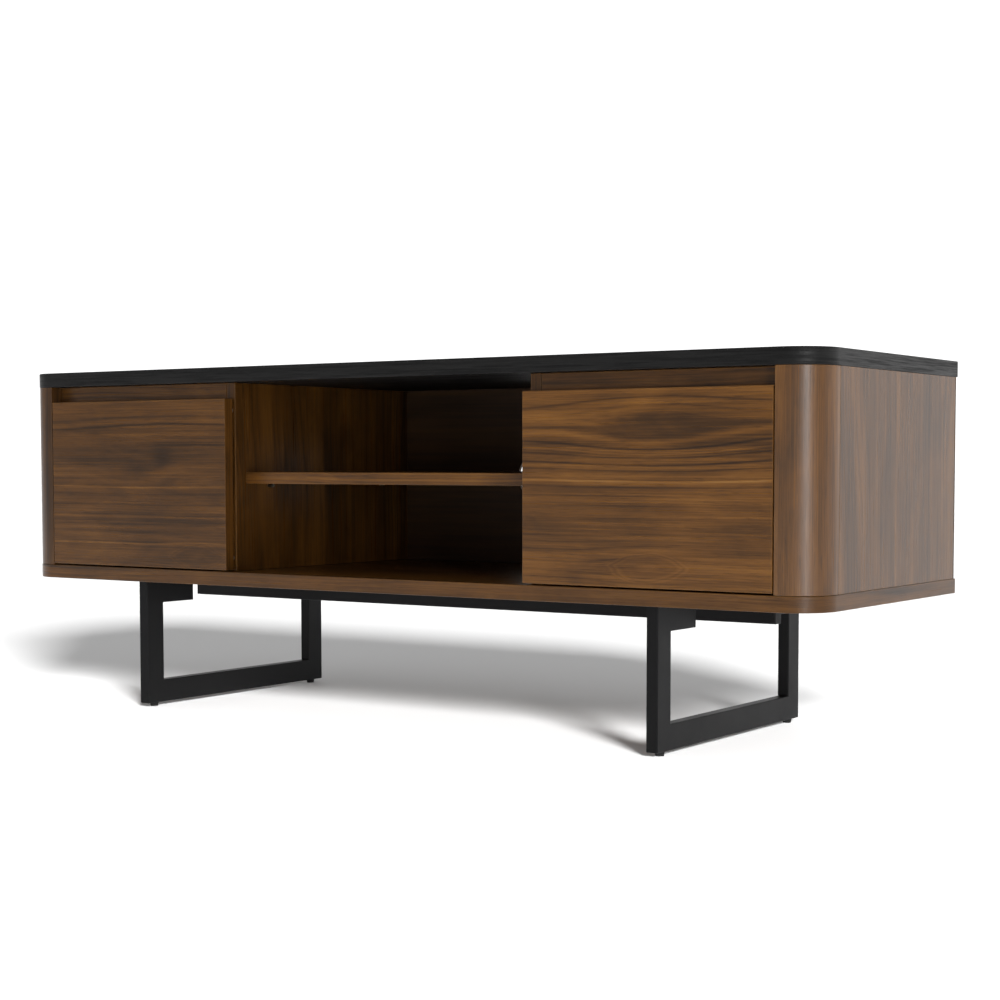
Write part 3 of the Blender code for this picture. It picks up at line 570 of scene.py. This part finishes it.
top = sawn("top_board", *rim_of("top_panel"), RIM_EASE)
fit(top, black_laminate("top_laminate"), "black_board", "stand", "top_panel")


# ------------------------------------------------------------------ doors
# Two inset doors of veneered board with the grain across them, bored at the back for hinge cups.
# Their veneer is from a showy part of the log, where the rings close into ovals round old knots.
DOOR_WANDER = 0.25
DOOR_RINGS = 0.30
DOOR_FACE = (0.0, 1.0, 0.0)
RIGHT_FIGURE = ((0.402, 0.3705, 0.120, 0.0300, 0.95, 0.06, 0.0),
                (0.392, 0.2140, 0.060, 0.0185, 0.85, 0.08, 0.7))
RIGHT_LINES = ((0.3682, 0.0014, -0.19), (0.3643, 0.0016, 0.14), (0.3565, 0.0013, -0.20),
               (0.3500, 0.0016, 0.13), (0.3442, 0.0013, -0.25), (0.3335, 0.0014, -0.22),
               (0.3255, 0.0012, -0.18), (0.3120, 0.0015, 0.24), (0.3060, 0.0013, -0.14),
               (0.2690, 0.0200, -0.05), (0.3960, 0.0080, 0.06), (0.3860, 0.0012, -0.16))
LEFT_FIGURE = ((-0.387, 0.3200, 0.030, 0.0090, 0.90, 0.22, 0.0),
               (-0.340, 0.3330, 0.016, 0.0130, 0.50, 0.26, 0.0),
               (-0.281, 0.2060, 0.052, 0.0150, 0.85, 0.05, 0.6))
LEFT_LINES = ((0.3750, 0.0016, -0.26), (0.3330, 0.0140, -0.08), (0.2945, 0.0014, 0.24),
              (0.2500, 0.0013, -0.16), (0.2300, 0.0160, -0.05), (0.3870, 0.0080, 0.08),
              (0.2200, 0.0013, 0.14))
DOORS = (("left", (2.9, 0.8, 1.45), 0.80, LEFT_FIGURE, LEFT_LINES),
         ("right", (0.15, 2.0, 0.75), 1.00, RIGHT_FIGURE, RIGHT_LINES))

for hand, shift, tone, figure, lines in DOORS:
    veneer = walnut(f"{hand}_door_walnut", "X", shift, DOOR_WANDER, tone, figure, lines,
                    face=DOOR_FACE, rings=DOOR_RINGS)
    dress(f"{hand}_door", veneer)


# ------------------------------------------------------------------ hinges
# Concealed hinges, pressed from nickel-plated steel: a cup in the door, a link, a cranked arm and
# its plate. Cup, plate and arm are held by small cross-headed screws.
HINGE_NICKEL = (0.60, 0.585, 0.56)
SCREW_STEEL = (0.50, 0.49, 0.47)
SCREW_RADIUS = 0.0034
SCREW_HEIGHT = 0.0015
SCREW_FACETS = 24
SCREW_CROWN = 0.58             # the flat on a head, as a part of its radius
CROSS_LENGTH = 1.05            # the cross in a head, as parts of its radius
CROSS_WIDTH = 0.26
CROSS_DEPTH = 1.2              # as a part of the head's height, half of it above the head
WING_SCREW_DROP = 0.0215       # screw to the middle of the cup
PLATE_SCREW_DROP = 0.0165      # screw to the middle of the plate
ARM_SCREW_PLACES = (0.010, 0.026)   # from the arm's tail
ARM_RISE = 0.0053              # arm's outer face off the plate's

hinge_nickel = zinc("hinge_nickel", HINGE_NICKEL, 0.26)
for hand in ("left", "right"):
    for level in ("lower", "upper"):
        for part in ("cup", "link", "arm", "plate"):
            dress(f"{hand}_hinge_{part}_{level}", hinge_nickel)

screw_steel = zinc("screw_steel", SCREW_STEEL, 0.30)
screw_tree, given = growing_tree("cross_screws", radius=SCREW_RADIUS, height=SCREW_HEIGHT)
crown = reckon(screw_tree, "MULTIPLY", given["radius"], SCREW_CROWN)
head = lay(screw_tree, "GeometryNodeMeshCone", SCREW_FACETS, 1, 2, crown, given["radius"],
           given["height"])
slot_length = reckon(screw_tree, "MULTIPLY", given["radius"], CROSS_LENGTH)
slot_width = reckon(screw_tree, "MULTIPLY", given["radius"], CROSS_WIDTH)
slot_deep = reckon(screw_tree, "MULTIPLY", given["height"], CROSS_DEPTH)
arms = []
for wide, long in ((slot_length, slot_width), (slot_width, slot_length)):
    size = lay(screw_tree, "ShaderNodeCombineXYZ", wide, long, slot_deep)
    arms.append(lay(screw_tree, "GeometryNodeMeshCube", size, 2, 2, 2))
raised = lay(screw_tree, "ShaderNodeCombineXYZ", 0.0, 0.0, given["height"])
recess = screw_tree.nodes.new("GeometryNodeMeshBoolean")
recess.operation = "DIFFERENCE"
screw_tree.links.new(head, recess.inputs["Mesh 1"])
for arm in arms:
    lifted = lay(screw_tree, "GeometryNodeTransform", arm, raised)
    screw_tree.links.new(lifted, recess.inputs["Mesh 2"])
facing = lay(screw_tree, "GeometryNodeInputNamedAttribute", "outward", data_type="FLOAT_VECTOR")
aimed = lay(screw_tree, "FunctionNodeAlignRotationToVector", None, None, facing, axis="Z")
placed = lay(screw_tree, "GeometryNodeInstanceOnPoints", given["Geometry"], None,
             recess.outputs[0], None, None, aimed)
grown(screw_tree, placed, screw_steel)

for hand, side in (("left", -1), ("right", 1)):
    door_screws = []
    case_screws = []
    for level in ("lower", "upper"):
        low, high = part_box(f"{hand}_hinge_cup_{level}")
        middle = (low + high) / 2
        for drop in (-WING_SCREW_DROP, WING_SCREW_DROP):
            door_screws.append(((middle.x, high.y, middle.z + drop), (0, 1, 0)))
        low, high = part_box(f"{hand}_hinge_plate_{level}")
        middle = (low + high) / 2
        face = low.x if side > 0 else high.x
        for drop in (-PLATE_SCREW_DROP, PLATE_SCREW_DROP):
            case_screws.append(((face, middle.y, middle.z + drop), (-side, 0, 0)))
        low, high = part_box(f"{hand}_hinge_arm_{level}")
        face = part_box(f"{hand}_hinge_plate_{level}")[0 if side > 0 else 1].x - side * ARM_RISE
        for back in ARM_SCREW_PLACES:
            case_screws.append(((face, high.y - back, (low.z + high.z) / 2), (-side, 0, 0)))
    for label, body, places in (("door", f"{hand}_door", door_screws),
                                ("case", "stand", case_screws)):
        points, ways = zip(*places)
        screws = seeded(f"{hand}_{label}_screws", points, outward=ways)
        grow(screws, screw_tree, radius=SCREW_RADIUS, height=SCREW_HEIGHT)
        fit(screws, screw_steel, "nickel_steel", body)


# ------------------------------------------------------------------ door bumpers
# Clear rubber buttons that soften the doors' closing.
# They are stuck on the dividers' front edges, two to a door.
RUBBER = (0.16, 0.155, 0.14)
RUBBER_DUSTY = (0.10, 0.097, 0.09)


def clear_rubber(name):
    """Cloudy soft plastic, a little dusty."""
    material, tree, shader, place = blank_finish(name, 0.35, Transmission_Weight=0.45, IOR=1.45)
    dust = cloud(tree, place, 700.0, 4.0, 0.65)
    colour = tint(tree, dust, RUBBER, RUBBER_DUSTY)
    skin(tree, shader, colour, spread(tree, dust, 0.3, 0.7, 0.28, 0.50))
    relief(tree, shader, dust, 0.10, 0.00003)
    return material


rubber = clear_rubber("bumper_rubber")
for hand in ("left", "right"):
    for level in ("lower", "upper"):
        dress(f"{hand}_door_bumper_{level}", rubber)


# ------------------------------------------------------------------ leg frames and beam
# Rectangular steel tube, cut, mitred, welded and ground flush, then powder coated black.
# Two frames stand across the case, and one length of tube runs between and past them.
COAT_BLACK = (0.0065, 0.0065, 0.0069)
COAT_RUBBED = (0.026, 0.026, 0.027)
COAT_DUSTY = tuple(1.5 * part for part in COAT_BLACK)


def powder_coat(name):
    """Fine orange peel with a soft gloss, dustier in places and thin at the edges."""
    material, tree, shader, place = blank_finish(name, 0.46, 0.12)
    peel = cloud(tree, place, 1300.0, 2.0, 0.5)
    dust = cloud(tree, place, 18.0, 4.0, 0.6)
    colour = tint(tree, spread(tree, dust, 0.35, 0.75, 0.0, 0.5), COAT_BLACK, COAT_DUSTY)
    rubbing = spread(tree, dust, 0.3, 0.7, 0.25, 0.6)
    worn = reckon(tree, "MULTIPLY", rubbed_edges(tree, 0.0012), rubbing)
    colour = tint(tree, worn, colour, COAT_RUBBED)
    skin(tree, shader, colour, spread(tree, dust, 0.3, 0.7, 0.42, 0.52))
    relief(tree, shader, peel, 0.18, 0.00010)
    return material


coat = powder_coat("leg_powder_coat")
for node in ("left_leg_frame", "right_leg_frame", "centre_beam"):
    dress(node, coat)


# ------------------------------------------------------------------ end caps and feet
# Moulded black plastic: plugs in the open ends of the tubes, and tapered glides under the rails.
# All are pushed in and hold by their own grip.
PLASTIC_BLACK = (0.010, 0.010, 0.010)
PLASTIC_SCUFFED = (0.045, 0.044, 0.043)
SCUFFED_BELOW = 0.0030         # over the floor


def moulded_plastic(name):
    """Matt plastic with a spark-eroded skin, scuffed where it meets the floor and at its edges."""
    material, tree, shader, place = blank_finish(name, 0.55, 0.20)
    grit = cloud(tree, place, 2600.0, 2.0, 0.5)
    scuff = figured(tree, place, (300.0, 300.0, 900.0), 4.0, 0.7)
    low_down = spread(tree, part_of(tree, place, 2), SCUFFED_BELOW, 0.0004, 0.0, 0.8)
    edges = reckon(tree, "MULTIPLY", rubbed_edges(tree, 0.0006), 0.5)
    worn = reckon(tree, "MAXIMUM", low_down, edges)
    worn = reckon(tree, "MULTIPLY", worn, spread(tree, scuff, 0.35, 0.7, 0.0, 1.0))
    colour = tint(tree, worn, PLASTIC_BLACK, PLASTIC_SCUFFED)
    skin(tree, shader, colour, spread(tree, scuff, 0.3, 0.7, 0.50, 0.64))
    relief(tree, shader, grit, 0.15, 0.00006)
    return material


plastic = moulded_plastic("cap_plastic")
for hand in ("left", "right"):
    dress(f"{hand}_beam_cap", plastic)
    for end in ("front", "rear"):
        dress(f"{hand}_{end}_arm_cap", plastic)
        dress(f"{hand}_{end}_foot", plastic)


# ------------------------------------------------------------------ bolts
# Six button-head bolts with hexagon sockets, zinc plated and blackened, driven up through the tubes
# into threaded inserts in the bottom panel.
BOLT_BLACK = (0.055, 0.055, 0.058)
BOLT_HEAD_RADIUS = 0.0055
BOLT_HEAD_HEIGHT = 0.0025
BOLT_CROWN = 0.62              # the flat on a head, as a part of its radius
BOLT_SHANK_RADIUS = 0.0030
BOLT_SHANK_LENGTH = 0.03       # until the solid's own length is read
SOCKET_RADIUS = 0.0023
HEAD_FACETS = 32
SHANK_FACETS = 24

bolt_black = zinc("bolt_black", BOLT_BLACK, 0.36)
bolt_tree, given = growing_tree("button_bolts", head_radius=BOLT_HEAD_RADIUS,
                                head_height=BOLT_HEAD_HEIGHT, shank_radius=BOLT_SHANK_RADIUS,
                                shank_length=BOLT_SHANK_LENGTH, socket_radius=SOCKET_RADIUS)
crown = reckon(bolt_tree, "MULTIPLY", given["head_radius"], BOLT_CROWN)
head = lay(bolt_tree, "GeometryNodeMeshCone", HEAD_FACETS, 2, 2, crown, given["head_radius"],
           given["head_height"])
hexagon = lay(bolt_tree, "GeometryNodeMeshCylinder", 6, 1, 1, given["socket_radius"],
              given["head_height"])
raised = lay(bolt_tree, "ShaderNodeCombineXYZ", 0.0, 0.0, given["head_height"])
hexagon = lay(bolt_tree, "GeometryNodeTransform", hexagon, raised)
socket = bolt_tree.nodes.new("GeometryNodeMeshBoolean")
socket.operation = "DIFFERENCE"
bolt_tree.links.new(head, socket.inputs["Mesh 1"])
bolt_tree.links.new(hexagon, socket.inputs["Mesh 2"])
shank = lay(bolt_tree, "GeometryNodeMeshCylinder", SHANK_FACETS, 1, 1, given["shank_radius"],
            given["shank_length"])
sunk = reckon(bolt_tree, "MULTIPLY", given["shank_length"], -0.5)
sunk = lay(bolt_tree, "ShaderNodeCombineXYZ", 0.0, 0.0, sunk)
shank = lay(bolt_tree, "GeometryNodeTransform", shank, sunk)
whole = bolt_tree.nodes.new("GeometryNodeJoinGeometry")
bolt_tree.links.new(socket.outputs[0], whole.inputs[0])
bolt_tree.links.new(shank, whole.inputs[0])
down = lay(bolt_tree, "FunctionNodeEulerToRotation", (math.pi, 0.0, 0.0))
placed = lay(bolt_tree, "GeometryNodeInstanceOnPoints", given["Geometry"], None,
             whole.outputs[0], None, None, down)
grown(bolt_tree, placed, bolt_black)

bolt_nodes = [f"{hand}_{end}_bolt" for hand in ("left", "right")
              for end in ("front_leg", "rear_leg", "beam")]
heads = []
for node in bolt_nodes:
    low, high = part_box(node)
    heads.append(((low.x + high.x) / 2, (low.y + high.y) / 2, low.z + BOLT_HEAD_HEIGHT))
bolts = seeded("frame_bolts", heads)
shank_length = high.z - heads[-1][2]
grow(bolts, bolt_tree, head_radius=BOLT_HEAD_RADIUS, head_height=BOLT_HEAD_HEIGHT,
     shank_radius=BOLT_SHANK_RADIUS, shank_length=shank_length, socket_radius=SOCKET_RADIUS)
fit(bolts, bolt_black, "black_bolt", "stand", *bolt_nodes)


# ------------------------------------------------------------------ glue lines
# Thin seams of dark glue fill the joints between the back panel and the case.
# Each is one long bead, thicker in some places than in others, as glue is squeezed out.
GLUE_BROWN = (0.030, 0.017, 0.008)
GLUE_HALF = 0.0006
GLUE_WAVE = 0.00015
GLUE_STEP = 0.012              # along a bead
GLUE_SIDES = 8


def bead(shape, start, stop):
    """One bead of glue from start to stop, round in section, closed at both ends."""
    way = stop - start
    count = max(2, round(way.length / GLUE_STEP))
    turn = way.to_track_quat("Z", "Y")
    rings = []
    for step in range(count + 1):
        half = GLUE_HALF + GLUE_WAVE * math.sin(1.7 * step) * math.cos(0.6 * step + 1.0)
        ring = []
        for side in range(GLUE_SIDES):
            angle = 2 * math.pi * side / GLUE_SIDES
            offset = turn @ mathutils.Vector((half * math.cos(angle), half * math.sin(angle), 0.0))
            ring.append(shape.verts.new(start + way * (step / count) + offset))
        rings.append(ring)
    for first, second in zip(rings, rings[1:]):
        for side in range(GLUE_SIDES):
            ahead = (side + 1) % GLUE_SIDES
            shape.faces.new((first[side], first[ahead], second[ahead], second[side]))
    shape.faces.new(rings[0][::-1])
    shape.faces.new(rings[-1])


def dried_glue(name):
    """Dark brown glue, shiny in places and dusty in others, paler where it is rubbed."""
    material, tree, shader, place = blank_finish(name, 0.5, 0.2)
    dust = figured(tree, place, (60.0, 400.0, 400.0), 4.0, 0.6)
    dusty = tuple(1.6 * part for part in GLUE_BROWN)
    colour = tint(tree, spread(tree, dust, 0.35, 0.7, 0.0, 1.0), GLUE_BROWN, dusty)
    worn = reckon(tree, "MULTIPLY", rubbed_edges(tree, 0.0003), 0.3)
    colour = tint(tree, worn, colour, BOARD_BROWN)
    skin(tree, shader, colour, spread(tree, dust, 0.3, 0.7, 0.35, 0.60))
    relief(tree, shader, dust, 0.20, 0.00005)
    return material


low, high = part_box("back_panel")
middle = (low.y + high.y) / 2
corners = [mathutils.Vector((x, middle, z)) for x, z in ((low.x, low.z), (high.x, low.z),
                                                         (high.x, high.z), (low.x, high.z))]
shape = bmesh.new()
for here, corner in enumerate(corners):
    bead(shape, corner, corners[(here + 1) % len(corners)])
fit(new_piece("back_glue", shape), dried_glue("seam_glue"), "back_board", "stand")


# ------------------------------------------------------------------ floor and light
# A plain white studio: a wide pale floor, a bright backdrop low down behind, a soft ceiling, and
# one softbox at the front right. A broad low lamp lights the floor only, and draws the stand's
# soft shadow to the left.
FLOOR_HALF = 60.0
FLOOR_WHITE = (0.60, 0.60, 0.60)
ROOM_GLOW = 0.26
BACKDROP_GLOW = 1.00
BACKDROP_EDGE = (0.08, 0.36)   # how far round to the back it starts and is full
BACKDROP_TOP = (0.20, 0.55)    # how high up it starts to fade and is gone
CEILING_GLOW = 0.45
CEILING_EDGE = (0.45, 0.90)    # how high up it starts and is full
WALL_WHITE = 1.0               # how bright the studio wall looks, whatever light it gives
SOFTBOX_SIZE = (0.75, 2.0)
SOFTBOX_PLACE = (3.3, -2.7, 1.15)
SOFTBOX_AIM = (0.4, -0.15, 0.3)
SOFTBOX_POWER = 44.0
RAKE_POWER = 12.2
RAKE_SPREAD = 14.0             # degrees across, which sets how soft the shadow is
RAKE_BEARING = 50.0            # degrees round from straight in front, towards the right
RAKE_HEIGHT = 22.5             # degrees above the floor

mesh = bpy.data.meshes.new("studio_floor")
mesh.from_pydata([(-FLOOR_HALF, -FLOOR_HALF, 0), (FLOOR_HALF, -FLOOR_HALF, 0),
                  (FLOOR_HALF, FLOOR_HALF, 0), (-FLOOR_HALF, FLOOR_HALF, 0)], [], [(0, 1, 2, 3)])
floor = new_item("studio_floor", mesh)
paint, tree, shader, place = blank_finish("studio_paint", 0.65, 0.25)
shader.inputs["Base Color"].default_value = (*FLOOR_WHITE, 1.0)
mesh.materials.append(paint)

world = bpy.data.worlds.new("studio")
world.use_nodes = True
bpy.context.scene.world = world
tree = world.node_tree
way = lay(tree, "ShaderNodeTexCoord", out=0)
behind = spread(tree, part_of(tree, way, 1), *BACKDROP_EDGE, 0.0, BACKDROP_GLOW)
rise = part_of(tree, way, 2)
backdrop = reckon(tree, "MULTIPLY", behind, spread(tree, rise, *BACKDROP_TOP, 1.0, 0.0))
ceiling = spread(tree, rise, *CEILING_EDGE, 0.0, CEILING_GLOW)
glow = reckon(tree, "ADD", reckon(tree, "ADD", backdrop, ROOM_GLOW), ceiling)
seen = reckon(tree, "MULTIPLY", lay(tree, "ShaderNodeLightPath", out=0), WALL_WHITE)
glow = reckon(tree, "MAXIMUM", glow, seen)
tree.links.new(glow, tree.nodes["Background"].inputs["Strength"])
tree.nodes["Background"].inputs["Color"].default_value = (1.0, 1.0, 1.0, 1.0)

light = bpy.data.lights.new("softbox", "AREA")
light.shape = "RECTANGLE"
light.size, light.size_y = SOFTBOX_SIZE
light.energy = SOFTBOX_POWER
softbox = new_item("softbox", light)
softbox.location = SOFTBOX_PLACE
aim = [a - b for a, b in zip(SOFTBOX_AIM, SOFTBOX_PLACE)]
softbox.rotation_euler = (math.pi / 2 + math.atan2(aim[2], math.hypot(aim[0], aim[1])), 0.0,
                          math.atan2(-aim[0], aim[1]))

light = bpy.data.lights.new("floor_rake", "SUN")
light.energy = RAKE_POWER
light.angle = math.radians(RAKE_SPREAD)
rake = new_item("floor_rake", light)
rake.rotation_euler = (math.radians(90 - RAKE_HEIGHT), 0.0, math.radians(RAKE_BEARING))
raked = bpy.data.collections.new("raked_floor")
raked.objects.link(floor)
rake.light_linking.receiver_collection = raked


# ------------------------------------------------------------------ camera
# A short telephoto lens stands in front of the stand and to its right, a little below the top.
# It is shifted so that the stand sits in the frame as a catalogue shows it.
CAMERA_PLACE = (1.4301, -1.9833, 0.3297)
CAMERA_YAW = 33.497
CAMERA_PITCH = -3.422
CAMERA_LENS = 67.62            # on a 36 mm frame
CAMERA_SHIFT = (-0.0350, 0.0737)

eye = bpy.data.cameras.new("viewer")
eye.lens = CAMERA_LENS
eye.shift_x, eye.shift_y = CAMERA_SHIFT
camera = new_item("viewer", eye)
camera.location = CAMERA_PLACE
camera.rotation_euler = (math.radians(90 + CAMERA_PITCH), 0.0, math.radians(CAMERA_YAW))
bpy.context.scene.camera = camera
bpy.context.scene.view_settings.view_transform = "Standard"
